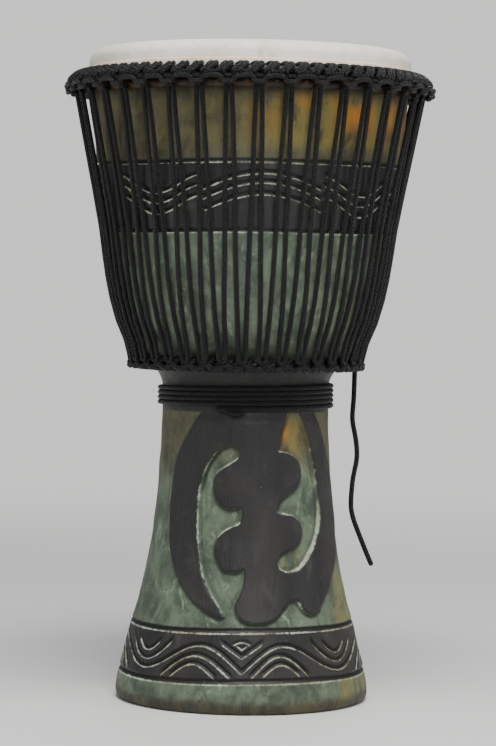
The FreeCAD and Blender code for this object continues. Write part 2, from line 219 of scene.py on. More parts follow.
class Nodes:
    """Short way to write a node tree."""

    def __init__(self, name):
        self.material = bpy.data.materials.new(name)
        self.material.use_nodes = True
        self.tree = self.material.node_tree
        self.surface = self.tree.nodes["Principled BSDF"]
        self.place = self.add("ShaderNodeTexCoord").outputs["Object"]

    def add(self, kind, **settings):
        node = self.tree.nodes.new(kind)
        for key, value in settings.items():
            setattr(node, key, value)
        return node

    def link(self, value, socket):
        if isinstance(value, bpy.types.NodeSocket):
            self.tree.links.new(value, socket)
        else:
            socket.default_value = value

    def math(self, operation, first, second=0.0):
        node = self.add("ShaderNodeMath", operation=operation)
        self.link(first, node.inputs[0])
        self.link(second, node.inputs[1])
        return node.outputs[0]

    def times(self, first, second):
        return self.math("MULTIPLY", first, second)

    def sway(self, value, noise, amount, middle=0.5):
        """A value pushed up and down by noise."""
        return self.math("ADD", value, self.times(self.math("SUBTRACT", noise, middle), amount))

    def scaled(self, x, y, z):
        node = self.add("ShaderNodeMapping")
        self.link(self.place, node.inputs["Vector"])
        node.inputs["Scale"].default_value = (x, y, z)
        return node.outputs["Vector"]

    def noise(self, scale, stretch=(1, 1, 1), detail=4.0, rough=0.6, twist=0.0):
        node = self.add("ShaderNodeTexNoise")
        self.link(self.scaled(*stretch), node.inputs["Vector"])
        node.inputs["Scale"].default_value = scale
        node.inputs["Detail"].default_value = detail
        node.inputs["Roughness"].default_value = rough
        node.inputs["Distortion"].default_value = twist
        return node.outputs["Fac"]

    def value(self, name):
        return self.add("ShaderNodeAttribute", attribute_name=name).outputs["Fac"]

    def window(self, value, low, high):
        """0 below low, 1 above high; low may be above high."""
        node = self.add("ShaderNodeMapRange", interpolation_type="SMOOTHSTEP")
        self.link(value, node.inputs["Value"])
        self.link(low, node.inputs["From Min"])
        self.link(high, node.inputs["From Max"])
        return node.outputs["Result"]

    def mix(self, share, first, second):
        node = self.add("ShaderNodeMix", data_type="RGBA")
        self.link(share, node.inputs["Factor"])
        self.link(first, node.inputs["A"])
        self.link(second, node.inputs["B"])
        return node.outputs["Result"]

    def dab(self, under, noise, low, high, share, colour):
        """A share of a colour laid over another where noise rises from low to high."""
        return self.mix(self.times(self.window(noise, low, high), share), under, colour)

    def bump(self, height, distance, before=None):
        node = self.add("ShaderNodeBump")
        node.inputs["Distance"].default_value = distance
        self.link(height, node.inputs["Height"])
        if before is not None:
            self.link(before, node.inputs["Normal"])
        return node.outputs["Normal"]

    def finish(self, colour, roughness, normal=None, **settings):
        self.link(colour, self.surface.inputs["Base Color"])
        self.link(roughness, self.surface.inputs["Roughness"])
        if normal is not None:
            self.link(normal, self.surface.inputs["Normal"])
        for key, value in settings.items():
            self.surface.inputs[key.replace("_", " ")].default_value = value
        return self.material


def rgb(red, green, blue):
    """Linear colour from the 0 to 255 values of a colour picker."""
    def linear(value):
        value /= 255
        return value / 12.92 if value <= 0.04045 else ((value + 0.055) / 1.055) ** 2.4
    return (linear(red), linear(green), linear(blue), 1.0)


def painted_wood():
    """Hand-painted carved wood: brushed green ground, ochre glazes, black fields and worn edges; painted
    highlights on the edges, and painted shade in the cuts, round the emblem, on the neck, under the crown and
    under the neck's rope.
    """
    n = Nodes("painted_wood")
    broad = n.noise(9, (1, 1, 0.7), 5, 0.6, 0.6)
    streak = n.noise(60, (1, 1, 0.16), 5, 0.65, 0.4)
    blotch = n.noise(38, (1, 1, 0.8), 6, 0.7, 0.5)
    patch = n.noise(72, (1, 1, 0.6), 6, 0.68, 0.9)
    speck = n.noise(420, (1, 1, 0.7), 3, 0.7)
    teal = n.mix(n.window(blotch, 0.36, 0.62), rgb(60, 71, 58), rgb(97, 110, 91))
    teal = n.dab(teal, patch, 0.54, 0.7, 0.75, rgb(136, 151, 130))
    olive = n.mix(n.window(blotch, 0.36, 0.62), rgb(62, 58, 42), rgb(92, 90, 66))
    olive = n.dab(olive, patch, 0.52, 0.7, 0.6, rgb(114, 112, 82))
    tint = n.sway(n.value("olive"), broad, 1.8)
    green = n.mix(n.window(tint, 0.15, 0.85), teal, olive)
    green = n.dab(green, streak, 0.54, 0.74, 0.55, rgb(38, 49, 40))
    green = n.dab(green, speck, 0.6, 0.72, 0.6, rgb(24, 28, 22))
    glaze = n.times(n.value("ochre"), n.window(n.math("ADD", streak, blotch), 0.82, 1.08))
    ground = n.mix(n.times(glaze, 0.85), green, rgb(134, 120, 56))
    ground = n.mix(n.times(n.value("amber"), 0.85), ground, rgb(186, 122, 28))
    # brown for dirt at the foot's edge and for painted shade under the crown and under the neck's rope
    brown = n.mix(n.window(streak, 0.4, 0.7), rgb(36, 32, 22), rgb(78, 68, 44))
    dirt_and_shade = n.sway(n.value("dirt_and_shade"), patch, 1.5)
    ground = n.dab(ground, dirt_and_shade, 0.15, 1.0, 0.85, brown)
    black = n.mix(n.window(broad, 0.4, 0.65), rgb(27, 26, 26), rgb(43, 41, 39))
    black = n.dab(black, blotch, 0.54, 0.72, 0.55, rgb(70, 65, 58))
    black = n.dab(black, streak, 0.58, 0.8, 0.35, rgb(62, 64, 60))
    black = n.dab(black, speck, 0.64, 0.76, 0.45, rgb(104, 104, 94))
    ragged = n.sway(n.value("black"), blotch, 1.6)
    field = n.window(ragged, -0.4, 0.4)
    colour = n.mix(field, ground, black)
    # painted shade: near-black in the cuts, round the emblem, on its walls that face down and on the neck
    cut = n.times(n.value("cut"), 0.92)
    colour = n.mix(cut, colour, rgb(13, 13, 12))
    chips = n.math("ADD", patch, n.times(speck, 0.5))
    # pale rubbed paint, in part a painted highlight on edges that face the light
    rubbed_and_lit = n.sway(n.value("wear_and_highlight"), chips, 1.9, middle=0.82)
    pale = n.mix(n.window(broad, 0.4, 0.6), rgb(176, 190, 170), rgb(150, 150, 118))
    colour = n.dab(colour, rubbed_and_lit, 0.3, 0.85, 0.9, pale)
    inside = n.mix(n.window(streak, 0.35, 0.7), rgb(88, 58, 36), rgb(140, 98, 62))
    colour = n.mix(n.value("inside"), colour, inside)
    grain = n.noise(150, (1, 1, 0.05), 5, 0.6, 0.8)
    brush = n.noise(330, (1, 1, 0.22), 4, 0.6)
    normal = n.bump(grain, 0.0009)
    normal = n.bump(brush, 0.0005, normal)
    normal = n.bump(n.times(speck, n.value("inside")), 0.0006, normal)
    rough = n.sway(0.62, blotch, 0.5)
    rough = n.math("SUBTRACT", rough, n.times(field, 0.12))
    return n.finish(colour, rough, normal, Specular_IOR_Level=0.42)


def goatskin():
    """Shaved goatskin: cream, faintly mottled, with a darker spine, short hair pores and painted shade on the
    roll under the crown.
    """
    n = Nodes("goatskin")
    cloud = n.noise(14, (1, 1, 1), 6, 0.62, 0.7)
    fine = n.noise(90, (1, 1, 1), 6, 0.7)
    pore = n.noise(900, (1, 1, 1), 2, 0.6)
    colour = n.mix(n.window(cloud, 0.32, 0.7), rgb(222, 214, 198), rgb(240, 236, 226))
    colour = n.dab(colour, fine, 0.5, 0.75, 0.45, rgb(206, 192, 168))
    colour = n.mix(n.times(n.value("spine"), n.window(fine, 0.3, 0.7)), colour, rgb(176, 152, 118))
    colour = n.dab(colour, pore, 0.66, 0.78, 0.35, rgb(128, 108, 84))
    colour = n.mix(n.value("hem"), colour, rgb(186, 128, 66))
    # painted shade: the roll round the flesh ring, under the crown, in dark brown
    roll_shade = n.mix(n.window(fine, 0.4, 0.65), rgb(26, 20, 14), rgb(66, 46, 28))
    colour = n.mix(n.value("roll"), colour, roll_shade)
    normal = n.bump(fine, 0.0006)
    normal = n.bump(pore, 0.00015, normal)
    rough = n.math("ADD", 0.5, n.times(fine, 0.2))
    return n.finish(colour, rough, normal, Specular_IOR_Level=0.45, Subsurface_Weight=0.12,
                    Subsurface_Scale=0.003, Subsurface_Radius=(1.0, 0.8, 0.6))


def black_rope():
    """Braided polyester rope: crossing strands with painted shade in their hollows, a dry sheen and dust."""
    n = Nodes("black_rope")
    split = n.add("ShaderNodeSeparateXYZ")
    n.link(n.add("ShaderNodeUVMap", uv_map="UVMap").outputs["UV"], split.inputs[0])
    around = n.times(split.outputs["X"], 2 * math.pi * 4)
    along = n.times(split.outputs["Y"], 4 * math.pi / BRAID_LENGTH)
    first = n.math("SINE", n.math("ADD", around, along))
    second = n.math("SINE", n.math("SUBTRACT", around, along))
    braid = n.math("MAXIMUM", first, second)
    dust = n.noise(260, (1, 1, 1), 5, 0.7)
    fibre = n.noise(1700, (1, 1, 1), 2, 0.6)
    # painted shade: the braid's hollows darker than its raised strands
    colour = n.mix(n.window(braid, -0.2, 0.9), rgb(3, 3, 3), rgb(14, 14, 14))
    colour = n.dab(colour, dust, 0.54, 0.74, 0.2, rgb(34, 34, 33))
    colour = n.dab(colour, fibre, 0.6, 0.72, 0.3, rgb(72, 72, 70))
    normal = n.bump(braid, 0.0007)
    normal = n.bump(fibre, 0.0002, normal)
    rough = n.math("ADD", 0.34, n.times(dust, 0.25))
    return n.finish(colour, rough, normal, Specular_IOR_Level=0.32, Sheen_Weight=0.04,
                    Sheen_Roughness=0.4)


def steel_rod():
    """Black-lacquered steel rod with rust where the lacquer is scratched."""
    n = Nodes("steel_rod")
    flake = n.noise(160, (1, 1, 1), 6, 0.7)
    fine = n.noise(700, (1, 1, 1), 3, 0.6)
    rust = n.window(flake, 0.58, 0.66)
    colour = n.mix(rust, rgb(28, 28, 29), rgb(96, 56, 34))
    rough = n.math("ADD", 0.38, n.times(rust, 0.4))
    return n.finish(colour, rough, n.bump(fine, 0.0002), Metallic=0.5)


WOOD = painted_wood()
SKIN = goatskin()
ROPE = black_rope()
STEEL = steel_rod()


# ---- shell

def outline_distance(outline, along, height):
    """Signed distance in millimetres from a closed outline, positive inside."""
    best = np.full(along.shape, 1e9)
    inside = np.zeros(along.shape, bool)
    for (x0, z0), (x1, z1) in zip(outline, outline[1:] + outline[:1]):
        dx, dz = x1 - x0, z1 - z0
        share = ((along - x0) * dx + (height - z0) * dz) / (dx * dx + dz * dz)
        share = np.clip(share, 0, 1)
        best = np.minimum(best, np.hypot(along - x0 - share * dx, height - z0 - share * dz))
        if z0 != z1:
            crosses = (z0 > height) != (z1 > height)
            inside ^= crosses & (along < x0 + (height - z0) * dx / dz)
    return np.where(inside, best, -best)


def smooth_outline(corners, rounds=2):
    """Cut the corners of an outline so that its curves run smoothly."""
    points = np.array(corners, float)
    for _ in range(rounds):
        ahead = np.roll(points, -1, axis=0)
        points = np.stack([0.75 * points + 0.25 * ahead, 0.25 * points + 0.75 * ahead], axis=1)
        points = points.reshape(-1, 2)
    return [tuple(point) for point in points]


class Carving:
    """Collects cuts over the shell's outer surface: depth, painted shade in the cut, and the lip, rubbed pale
    and lightened as a painted highlight.
    """

    def __init__(self, shape):
        self.depth = np.zeros(shape)
        self.cut = np.zeros(shape)
        self.wear_and_highlight = np.zeros(shape)

    def groove(self, above, width=3.6, depth=2.2, share=1.0, lip=0.85):
        """Cut whose upper wall is steep and whose lower wall slopes out. above is the height of a
        point over the cut's line, measured square to it."""
        upper = 1 - smoothstep(0.0, 1.1, above)
        lower = smoothstep(-width, 0.0, above)
        self.depth = np.maximum(self.depth, share * depth * np.where(above > 0, upper, lower))
        # painted shade in the cut, under its steep upper wall
        shade = smoothstep(-width * 0.72, -width * 0.3, above) * (1 - smoothstep(0.5, 1.3, above))
        self.cut = np.maximum(self.cut, share * shade)
        # the cut's lower lip: rubbed pale paint and a painted highlight
        rubbed_and_lit = np.exp(-((above + width * 0.95) / lip) ** 2)
        self.wear_and_highlight = np.maximum(self.wear_and_highlight, share * rubbed_and_lit)

    def line(self, height, curve, slope, low, high, along, **settings):
        """Groove along a curve between two places, fading out at both ends."""
        share = smoothstep(low - 2.5, low + 2.5, along) * (1 - smoothstep(high - 2.5, high + 2.5, along))
        self.groove((height - curve) / np.hypot(1, slope), share=share, **settings)


def arch(along, centre, half_width, peak, end):
    """Height and slope of an arch (or a bowl, if end is above peak) over its half width."""
    share = np.clip((along - centre) / half_width, -1.15, 1.15) * math.pi / 2
    height = end + (peak - end) * np.cos(share)
    slope = -(peak - end) * np.sin(share) * math.pi / 2 / half_width
    return height, slope


def foot_wobble(angle):
    """How far the hand-cut edges of the foot's band stray from level."""
    return 0.9 * np.sin(np.radians(angle) + 0.4) + 0.6 * np.sin(np.radians(3 * angle) + 1.0)


def bowl_wobble(angle):
    """The same for the band round the bowl."""
    return 0.5 * np.sin(np.radians(2 * angle)) + 0.4 * np.sin(np.radians(5 * angle) + 2)


def carve_foot_band(carving, angle, height):
    """Waves, nested arches and a chevron between two grooves round the foot."""
    along = along_of(angle, FOOT_BAND_RADIUS)
    wobble = foot_wobble(angle)
    carving.groove(height - FOOT_BAND[1] - wobble, width=4.2, lip=1.0)
    carving.groove(height - FOOT_BAND[0] - 1.2 * wobble, width=4.8, lip=1.1)
    half_round = math.pi * FOOT_BAND_RADIUS
    side = np.abs(along)
    crest, trough = 64.0, 40.0
    spans = [(0, 39.0, 41.0, True), (99.5, 60.5, trough, False), (220.5, 60.5, trough, False),
             (half_round, half_round - 281.0, trough, False)]
    wave = np.zeros_like(along)
    slope = np.zeros_like(along)
    for low_at, reach, low, sharp in spans:
        near = np.abs(side - low_at) <= reach
        share = np.clip((side - low_at) / reach, -1, 1)
        if sharp:
            rise = np.sin(np.abs(share) * math.pi / 2)
            steep = np.cos(share * math.pi / 2) * math.pi / 2 / reach
        else:
            rise = 0.5 - 0.5 * np.cos(share * math.pi)
            steep = 0.5 * np.sin(np.abs(share) * math.pi) * math.pi / reach
        wave = np.where(near, low + (crest - low) * rise, wave)
        slope = np.where(near, (crest - low) * steep, slope)
    carving.groove((height - wave) / np.hypot(1, slope), width=3.4)
    lefts = ((-43.0, 34, 55.0, 36.0), (-45.0, 22, 47.5, 35.5))
    rights = ((35.5, 28, 55.5, 37.0), (36.0, 18, 48.0, 38.0))
    for centre, reach, peak, end in lefts + rights:
        curve, steep = arch(along, centre, reach, peak, end)
        carving.line(height, curve, steep, centre - reach, centre + reach, along)
    for centre in (160.0, 281.0):
        for reach, peak, end in ((33, 55.0, 36.0), (21, 47.0, 35.5)):
            curve, steep = arch(side, centre + 3, reach, peak, end)
            carving.line(height, curve, steep, centre + 3 - reach, centre + 3 + reach, side)
    for centre in (99.5, 220.5, half_round):
        for reach, bottom, end in ((30, 47.5, 67.0), (16, 55.5, 66.0)):
            curve, steep = arch(side, centre, reach, bottom, end)
            carving.line(height, curve, steep, centre - reach, centre + reach, side, width=3.2)
    chevron = 54.5 + side * 0.66
    carving.line(height, chevron, 0.66 + 0 * side, -9, 19, side)
    curve, steep = arch(side, 0, 10, 67.0, 63.5)
    carving.line(height, curve, steep, -12, 9, side, width=2.2, depth=1.4)
    carving.line(height, 60.5 + side * 0.7, 0.7 + 0 * side, -6, 5, side, width=1.8, depth=1.2)


def carve_bowl_band(carving, angle, height):
    """Nested arches, with nested hollows between them, between two grooves round the bowl."""
    for level in BOWL_BAND:
        carving.groove(height - level - bowl_wobble(angle), width=3.4, share=0.85)
    mean_radius = 143.0
    for middle in (5.8, 91.0, 180.0, -88.0):
        offset = ((angle - middle + 180) % 360 - 180) * math.radians(mean_radius)
        for peak in (493.5, 485.0, 474.4):
            curve, slope = arch(offset, 0, 80, peak, peak - 26)
            carving.line(height, curve, slope, -57, 57, offset)
    for middle in (-36.5, 47.5, 135.5, -132.0):
        offset = ((angle - middle + 180) % 360 - 180) * math.radians(mean_radius)
        share = np.clip(offset / 50, -1.1, 1.1) * math.pi
        for low in (475.4, 466.4, 456.8):
            curve = low + 8.6 * (1 - np.cos(share))
            slope = 8.6 * np.sin(share) * math.pi / 50
            carving.line(height, curve, slope, -46, 46, offset)


def shell_section():
    """Closed section as (radius, height), up the outside, over the rim and down the bore; first carved
    row, the row after the last, and the number of rim rows."""
    outer = np.concatenate([np.arange(8, 92, 0.95), np.arange(92, 280, 1.25), np.arange(280, 436, 2.2),
                            np.arange(436, 508, 0.95), np.arange(508, 597.3, 2.6)])
    outer_radius = smooth_table(PROFILE, outer, PROFILE_BLUR)
    toe = [(table(PROFILE, 0) - 1.5 + 1.5 * math.sin(step), 1.5 - 1.5 * math.cos(step))
           for step in np.linspace(0, 1.2, 4)] + [(118.2, 3.2), (119.2, 5.6)]
    rim_angle = np.linspace(0.12, math.pi / 2, 9)
    rim = [(139.0 + 11.4 * math.cos(step), 597.2 + 11.4 * math.sin(step)) for step in rim_angle]
    rim += [(136.4, 607.6), (135.0, 605.4)]
    inner_height = np.linspace(602, 3, 90)
    inner = list(zip(smooth_table(BORE, inner_height, 8), inner_height))
    inner += [(104.2, 0.9), (105.4, 0.0), (111.0, 0.0)]
    section = np.array(toe + list(zip(outer_radius, outer)) + rim + inner)
    return section, len(toe), len(toe) + len(outer), len(rim)


def cells(angle, height, around, tall, seed):
    """Smooth noise over the shell, in cells: so many round it, each so many millimetres tall."""
    return value_noise((angle + 180) / 360 * around, height / tall, seed, around)


def emblem_distance(angle, height, radius):
    """Signed distance from the emblem's outline over the carved surface."""
    emblem = np.full(angle.shape, FAR_OUTSIDE)
    levels = height[:, 0]
    rows = (levels > 78) & (levels < 294)
    along = along_of(angle[rows], radius[rows])
    near = np.abs(along - 15) < 115
    found = np.full(along.shape, FAR_OUTSIDE)
    found[near] = outline_distance(smooth_outline(EMBLEM), along[near], height[rows][near])
    emblem[rows] = found
    return emblem


def below_wrap(height):
    """1 where the emblem is carved in full, fading to 0 under the rope wound round the neck."""
    return 1 - smoothstep(262, 275, height)


def shell_relief(angle, height, emblem, carving):
    """How far the surface stands out from its turned shape."""
    raised = 3.4 * smoothstep(-1.4, 1.1, emblem) * below_wrap(height)
    ditch = 0.9 * np.exp(-((emblem + 2.2) / 1.6) ** 2) * below_wrap(height)
    tool = cells(angle, height, 48, 17, 3) - 0.5
    hand = cells(angle, height, 9, 90, 5) - 0.5
    push = raised - ditch - carving.depth + 0.7 * tool + 1.4 * hand
    return push * smoothstep(600, 560, height)


class Paint:
    """What the wood's material is told at each point of the carved surface."""

    def __init__(self, angle, height, radius, emblem, carving):
        self.angle = angle
        self.height = height
        self.radius = radius
        self.emblem = emblem
        self.carving = carving
        self.place = along_of(angle, radius)
        self.below_wrap = below_wrap(height)
        self.dabs = cells(angle, height, 54, 30, 12)
        self.lit = np.maximum(self.side(42, 48), 0.8 * self.side(-140, 55))

    def side(self, middle, half):
        """1 on the side of the drum at an angle, fading to 0 at a half width in degrees."""
        away = np.abs((self.angle - middle + 180) % 360 - 180)
        return 1 - smoothstep(0.55 * half, half, away)

    def spot(self, middle, width, level, tall):
        """A soft patch."""
        return np.exp(-((self.place - middle) / width) ** 2 - ((self.height - level) / tall) ** 2)

    def edge_light(self, direction, level, width):
        """Part of the emblem's wall that faces a direction (along, up), from 0 to 1."""
        step = math.radians(360 / self.angle.shape[1])
        up = np.gradient(self.emblem, axis=0) / np.gradient(self.height[:, 0])[:, None]
        across = np.gradient(self.emblem, axis=1) / (step * self.radius)
        facing = -(up * direction[1] + across * direction[0])
        wall = np.exp(-((self.emblem - level) / width) ** 2)
        return wall * smoothstep(0.1, 0.75, facing) * self.below_wrap

    def wear_and_highlight(self):
        """Edges rubbed back to pale wood, partly painted highlights: the groove lips and the emblem's walls
        that face up and sideways.
        """
        wear_and_highlight = np.maximum(self.carving.wear_and_highlight, self.edge_light((0.05, 1.0), -0.1, 0.95))
        wear_and_highlight = np.maximum(wear_and_highlight, 0.7 * self.edge_light((0.97, 0.2), -0.1, 0.8) * (self.place < -12))
        low_arm = (self.place > 48) * smoothstep(215, 180, self.height)
        wear_and_highlight = np.maximum(wear_and_highlight, 0.9 * self.edge_light((-0.97, 0.2), -0.3, 1.3) * low_arm)
        return np.maximum(wear_and_highlight, 0.6 * self.edge_light((-0.97, 0.2), -0.1, 0.8) * (self.place > 48))

    def cut(self):
        """Painted shade in the cuts, round the emblem and on its walls that face down, and painted shade
        deepening the black paint of the neck.
        """
        # painted shadow in the ditch round the emblem and on its walls that face down
        shadow = 0.25 * np.exp(-((self.emblem + 1.9) / 1.2) ** 2)
        shadow += 0.7 * self.edge_light((0.3, -1.0), -1.6, 1.7)
        # painted shade on the black neck under the bowl
        neck = smoothstep(DARK_NECK[0], DARK_NECK[0] + 4, self.height) * (self.height < DARK_NECK[1])
        return np.maximum(np.maximum(self.carving.cut, shadow), 0.75 * neck)

    def black(self):
        """Signed distance from the edges of the black fields, positive inside."""
        black = np.full(self.angle.shape, OUTSIDE_BLACK)
        foot_stray = foot_wobble(self.angle)
        bowl_stray = bowl_wobble(self.angle)
        fields = [(FOOT_BAND[0] + 1.2 * foot_stray - 3.8, FOOT_BAND[1] + foot_stray),
                  DARK_NECK,
                  (BOWL_BAND[0] + bowl_stray - 2.4, BOWL_BAND[1] + bowl_stray)]
        for low, high in fields:
            black = np.maximum(black, np.minimum(self.height - low, high - self.height))
        return np.maximum(black, self.emblem)

    def ochre(self):
        """Ochre glaze above the bowl's band and in patches on the foot."""
        patches = cells(self.angle, self.height, 14, 46, 11)
        ochre = smoothstep(506, 522, self.height) * smoothstep(570, 552, self.height)
        ochre = ochre * (0.25 + 0.75 * self.lit) * smoothstep(0.1, 0.5, 0.4 * patches + 0.6 * self.dabs)
        inlet = np.exp(-((self.place - 46) / 12) ** 2) * smoothstep(215, 250, self.height) * self.below_wrap
        low_right = smoothstep(98, 112, self.place) * smoothstep(150, 110, self.height)
        for patch in (0.75 * inlet, 0.8 * self.spot(42, 9, 136, 9), 0.5 * low_right):
            ochre = np.maximum(ochre, patch)
        return ochre

    def amber(self):
        """Stronger dabs of amber near the top of the bowl and one on the foot."""
        amber = self.lit * smoothstep(0.42, 0.7, self.dabs) * np.exp(-((self.height - 544) / 13) ** 2)
        return np.maximum(amber, 0.8 * self.spot(38, 3.5, 255, 9))

    def olive(self):
        """Where the green turns to olive."""
        upper_bowl = 0.8 * smoothstep(500, 506, self.height)
        upper_foot = 0.75 * smoothstep(190, 262, self.height) * (self.height < 290)
        return np.maximum(upper_bowl, upper_foot) + 0.25 * self.side(70, 60) + 0.15 * self.side(-75, 40)

    def dirt_and_shade(self):
        """Brown dirt at the foot's edge, and brown painted shade under the crown and under the neck's rope.
        """
        dirt_and_shade = np.maximum(smoothstep(19, 5, self.height), 0.85 * smoothstep(552, 574, self.height))
        return np.maximum(dirt_and_shade, 0.35 * smoothstep(232, 268, self.height) * smoothstep(290, 274, self.height))


def make_shell():
    """The goblet: its outer surface carries the carving; its inner surface shows tool marks."""
    columns = 900
    section, first, last, rim_rows = shell_section()
    angle = np.arange(columns) * 360 / columns - 180
    angles = angle[None, :] + 0 * section[:, :1]
    radius = section[:, :1] + 0 * angles
    height = section[:, 1:] + 0 * angles
    carved_angle = angles[first:last]
    carved_height = height[first:last]

    carving = Carving(carved_angle.shape)
    carve_foot_band(carving, carved_angle, carved_height)
    carve_bowl_band(carving, carved_angle, carved_height)
    emblem = emblem_distance(carved_angle, carved_height, radius[first:last])
    radius[first:last] += shell_relief(carved_angle, carved_height, emblem, carving)
    paint = Paint(carved_angle, carved_height, radius[first:last], emblem, carving)

    def whole(values, rest):
        """The carved surface's values, and one value for the rest of the shell."""
        everywhere = np.full(radius.shape, float(rest))
        everywhere[first:last] = values
        return everywhere

    inside = whole(0, 1)
    inside[:first] = 0
    inside[last:last + 4] = 0
    rests = {"black": OUTSIDE_BLACK, "cut": 0, "wear_and_highlight": 0, "ochre": 0, "amber": 0, "olive": 0.5, "dirt_and_shade": 1}
    floats = {name: whole(getattr(paint, name)(), rest) for name, rest in rests.items()}
    floats["inside"] = inside

    bore_rows = np.arange(len(section)) >= last + rim_rows
    marks = cells(angles, height, 60, 24, 7) - 0.5
    radius += np.where(bore_rows[:, None] & (height > 6), 1.6 * marks, 0)

    points = cylinder_points(radius, angles, height)
    shell = build_mesh("carved_shell", points, grid_faces(len(section), columns, True), WOOD, floats)
    stand_for(shell, "painted_wood", "drum_shell", "shell")


# ---- skin

def make_skin():
    """The goatskin in one piece: playing surface, side, roll round the flesh ring and trimmed collar."""
    thick = 1.1
    middle_x = FLESH_RING[1].x / MM - ROD_RADIUS
    middle_z = (FLESH_RING[0].z + FLESH_RING[1].z) / 2 / MM
    edge = 12.7
    flat = SKIN_RADIUS - edge
    outer = [(radius, PLAYING_HEIGHT) for radius in np.linspace(4, flat, 40)]
    outer += [(flat + edge * math.sin(step), PLAYING_HEIGHT - edge + edge * math.cos(step))
              for step in np.linspace(0.1, math.pi / 2, 14)]
    outer += [(SKIN_RADIUS + 0.4, height) for height in np.linspace(595, 592.4, 4)]
    outer += [(SKIN_RADIUS + 2.3, 591.7), (SKIN_RADIUS + 2.5, 589.0), (SKIN_RADIUS + 2.5, 580.0),
              (SKIN_RADIUS + 2.5, middle_z + 3.9)]
    outer += [(middle_x + 4.4 * math.sin(step), middle_z + 4.4 * math.cos(step))
              for step in np.linspace(-0.35, math.pi * 1.5, 24)]
    outer += [(SKIN_RADIUS + 0.1, 580.0), (SKIN_RADIUS - thick + 0.1, 580.4), (SKIN_RADIUS - thick, 596.0)]
    inner = [(flat + (edge - thick) * math.sin(step),
              PLAYING_HEIGHT - edge + (edge - thick) * math.cos(step))
             for step in np.linspace(math.pi / 2, 0, 10)]
    inner += [(radius, PLAYING_HEIGHT - thick) for radius in np.linspace(flat - 3, 4, 20)]
    section = np.array(outer + inner)

    def ripple(angle, radius, height):
        side = smoothstep(603, 596, height) * smoothstep(588, 592, height)
        fold = value_noise(angle / 360 * 110, height / 30, 21, 110) - 0.5
        sag = -0.5 * smoothstep(flat, 20, radius) * (height > PLAYING_HEIGHT - 2)
        lump = value_noise(angle / 360 * 40, radius / 26, 23, 40) - 0.5
        return 0.5 * fold * side, sag + 0.25 * lump * smoothstep(flat + 4, flat - 20, radius)

    columns = 360
    angle = np.arange(columns) * 360 / columns
    radius = section[:, :1] + 0 * angle
    height = section[:, 1:] + 0 * angle
    more_radius, more_height = ripple(angle + 0 * radius, radius, height)
    points = cylinder_points(radius + more_radius, angle + 0 * radius, height + more_height)
    hem_noise = value_noise(angle / 360 * 70, 0 * angle, 27, 70)
    hem = np.exp(-((height - 591.6) / 0.5) ** 2) * (radius > SKIN_RADIUS) * (0.45 + 0.5 * hem_noise)
    spine = np.exp(-((points[..., 0] - 12) / 9) ** 2) * 0.5 * (height > 590)
    rows = len(section)
    hub = np.array([[0, 0, PLAYING_HEIGHT - 0.5], [0, 0, PLAYING_HEIGHT - thick - 0.5]])
    # where the painted shade of the roll lies
    roll = smoothstep(589, 583, height)
    floats = {"hem": hem, "spine": spine, "roll": roll}
    floats = {key: np.concatenate([values.ravel(), [0, 0]]) for key, values in floats.items()}
    skin = build_mesh("goatskin_head", np.concatenate([points.reshape(-1, 3), hub]),
                      grid_faces(rows, columns, False), SKIN, floats)
    close_hubs(skin, rows, columns)
    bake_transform(skin)
    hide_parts("drumhead", "skin_tuck")


def close_hubs(piece, rows, columns):
    """Close the playing surface and its underside with fans of triangles at the centre."""
    work = bmesh.new()
    work.from_mesh(piece.data)
    work.verts.ensure_lookup_table()
    top = work.verts[rows * columns]
    under = work.verts[rows * columns + 1]
    last = (rows - 1) * columns
    for column in range(columns):
        ahead = (column + 1) % columns
        work.faces.new((work.verts[ahead], work.verts[column], top)).smooth = True
        work.faces.new((work.verts[last + column], work.verts[last + ahead], under)).smooth = True
    bmesh.ops.recalc_face_normals(work, faces=work.faces)
    work.to_mesh(piece.data)
    work.free()


# ---- rope

def resample(points, step, closed):
    """Points spaced evenly along a path, in millimetres."""
    if closed:
        points = np.vstack([points, points[:1]])
    lengths = np.concatenate([[0], np.cumsum(np.linalg.norm(np.diff(points, axis=0), axis=1))])
    count = max(8, int(lengths[-1] / step))
    wanted = np.linspace(0, lengths[-1], count, endpoint=not closed)
    return np.stack([np.interp(wanted, lengths, points[:, axis]) for axis in range(3)], axis=1)


